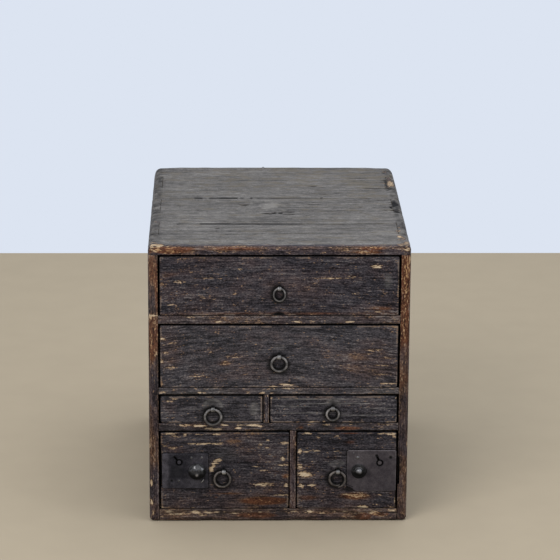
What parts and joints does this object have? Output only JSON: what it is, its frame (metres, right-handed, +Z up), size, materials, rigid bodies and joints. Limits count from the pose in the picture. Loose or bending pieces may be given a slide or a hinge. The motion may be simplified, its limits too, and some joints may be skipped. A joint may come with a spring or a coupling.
{
  "type": "tansu chest of drawers",
  "caption": "Small Japanese wooden chest of drawers with a box-jointed carcass, ring pulls on split pins and side-shooting drawer locks.",
  "frame": {"origin": "on the floor, at the centre of the carcass's footprint", "axes": "+Z up, +Y from the drawers' faces to the back, +X to the right as seen from the front"},
  "size_m": [0.36, 0.4604, 0.4],
  "materials": {
    "weathered_top_wood": "grey, weathered, dry",
    "dark_carcass_wood": "worn dark lacquer over brown wood",
    "bare_wood": "bare, aged",
    "forged_iron": "forged, rubbed bright on the edges",
    "black_iron": "smooth, dark, oiled"
  },
  "bodies": {
    "carcass": {"top_plank_front": "weathered_top_wood", "top_plank_middle": "weathered_top_wood", "top_plank_back": "weathered_top_wood", "side_left": "dark_carcass_wood", "side_right": "dark_carcass_wood", "bottom_board": "dark_carcass_wood", "shelf_upper": "dark_carcass_wood", "shelf_middle": "dark_carcass_wood", "shelf_lower": "dark_carcass_wood", "partition_upper": "dark_carcass_wood", "partition_lower": "dark_carcass_wood", "back_panel": "bare_wood"},
    "top_drawer": {"top_drawer_front": "dark_carcass_wood", "top_drawer_side_left": "bare_wood", "top_drawer_side_right": "bare_wood", "top_drawer_back": "bare_wood", "top_drawer_bottom": "bare_wood", "top_drawer_pin": "forged_iron"},
    "top_drawer_pull": {"top_drawer_ring": "forged_iron"},
    "second_drawer": {"second_drawer_front": "dark_carcass_wood", "second_drawer_side_left": "bare_wood", "second_drawer_side_right": "bare_wood", "second_drawer_back": "bare_wood", "second_drawer_bottom": "bare_wood", "second_drawer_pin": "forged_iron"},
    "second_drawer_pull": {"second_drawer_ring": "forged_iron"},
    "small_left_drawer": {"small_left_drawer_front": "dark_carcass_wood", "small_left_drawer_side_left": "bare_wood", "small_left_drawer_side_right": "bare_wood", "small_left_drawer_back": "bare_wood", "small_left_drawer_bottom": "bare_wood", "small_left_drawer_pin": "forged_iron"},
    "small_left_drawer_pull": {"small_left_drawer_ring": "forged_iron"},
    "small_right_drawer": {"small_right_drawer_front": "dark_carcass_wood", "small_right_drawer_side_left": "bare_wood", "small_right_drawer_side_right": "bare_wood", "small_right_drawer_back": "bare_wood", "small_right_drawer_bottom": "bare_wood", "small_right_drawer_pin": "forged_iron"},
    "small_right_drawer_pull": {"small_right_drawer_ring": "forged_iron"},
    "lock_left_drawer": {"lock_left_drawer_front": "dark_carcass_wood", "lock_left_drawer_side_left": "bare_wood", "lock_left_drawer_side_right": "bare_wood", "lock_left_drawer_back": "bare_wood", "lock_left_drawer_bottom": "bare_wood", "lock_left_drawer_pin": "forged_iron", "left_lock_plate": "black_iron", "left_lock_case": "black_iron"},
    "lock_left_drawer_pull": {"lock_left_drawer_ring": "forged_iron"},
    "left_lock_slider": {"left_lock_bolt": "black_iron"},
    "lock_right_drawer": {"lock_right_drawer_front": "dark_carcass_wood", "lock_right_drawer_side_left": "bare_wood", "lock_right_drawer_side_right": "bare_wood", "lock_right_drawer_back": "bare_wood", "lock_right_drawer_bottom": "bare_wood", "lock_right_drawer_pin": "forged_iron", "right_lock_plate": "black_iron", "right_lock_case": "black_iron"},
    "lock_right_drawer_pull": {"lock_right_drawer_ring": "forged_iron"},
    "right_lock_slider": {"right_lock_bolt": "black_iron"}
  },
  "joints": [
    {"name": "top_drawer_slide", "type": "slide", "parent": "carcass", "child": "top_drawer", "axis": [0, -1, 0], "range_m": [0, 0.34]},
    {"name": "top_drawer_ring_swing", "type": "hinge", "parent": "top_drawer", "child": "top_drawer_pull", "pos_m": [0, -0.22905, 0.34173], "axis": [-1, 0, 0], "range_deg": [-5, 180]},
    {"name": "second_drawer_slide", "type": "slide", "parent": "carcass", "child": "second_drawer", "axis": [0, -1, 0], "range_m": [0, 0.34]},
    {"name": "second_drawer_ring_swing", "type": "hinge", "parent": "second_drawer", "child": "second_drawer_pull", "pos_m": [0, -0.2296, 0.24352], "axis": [-1, 0, 0], "range_deg": [-5, 180]},
    {"name": "small_left_drawer_slide", "type": "slide", "parent": "carcass", "child": "small_left_drawer", "axis": [0, -1, 0], "range_m": [0, 0.34]},
    {"name": "small_left_drawer_ring_swing", "type": "hinge", "parent": "small_left_drawer", "child": "small_left_drawer_pull", "pos_m": [-0.0912, -0.2296, 0.16715], "axis": [-1, 0, 0], "range_deg": [-5, 180]},
    {"name": "small_right_drawer_slide", "type": "slide", "parent": "carcass", "child": "small_right_drawer", "axis": [0, -1, 0], "range_m": [0, 0.34]},
    {"name": "small_right_drawer_ring_swing", "type": "hinge", "parent": "small_right_drawer", "child": "small_right_drawer_pull", "pos_m": [0.0748, -0.2294, 0.1683], "axis": [-1, 0, 0], "range_deg": [-5, 180]},
    {"name": "lock_left_drawer_slide", "type": "slide", "parent": "carcass", "child": "lock_left_drawer", "axis": [0, -1, 0], "range_m": [0, 0.34]},
    {"name": "lock_left_drawer_ring_swing", "type": "hinge", "parent": "lock_left_drawer", "child": "lock_left_drawer_pull", "pos_m": [-0.0761, -0.22945, 0.07521], "axis": [-1, 0, 0], "range_deg": [-5, 180]},
    {"name": "left_bolt_slide", "type": "slide", "parent": "lock_left_drawer", "child": "left_lock_slider", "axis": [-1, 0, 0], "range_m": [0, 0.008]},
    {"name": "lock_right_drawer_slide", "type": "slide", "parent": "carcass", "child": "lock_right_drawer", "axis": [0, -1, 0], "range_m": [0, 0.34]},
    {"name": "lock_right_drawer_ring_swing", "type": "hinge", "parent": "lock_right_drawer", "child": "lock_right_drawer_pull", "pos_m": [0.0826, -0.2295, 0.07521], "axis": [-1, 0, 0], "range_deg": [-5, 180]},
    {"name": "right_bolt_slide", "type": "slide", "parent": "lock_right_drawer", "child": "right_lock_slider", "axis": [1, 0, 0], "range_m": [0, 0.008]}
  ]
}
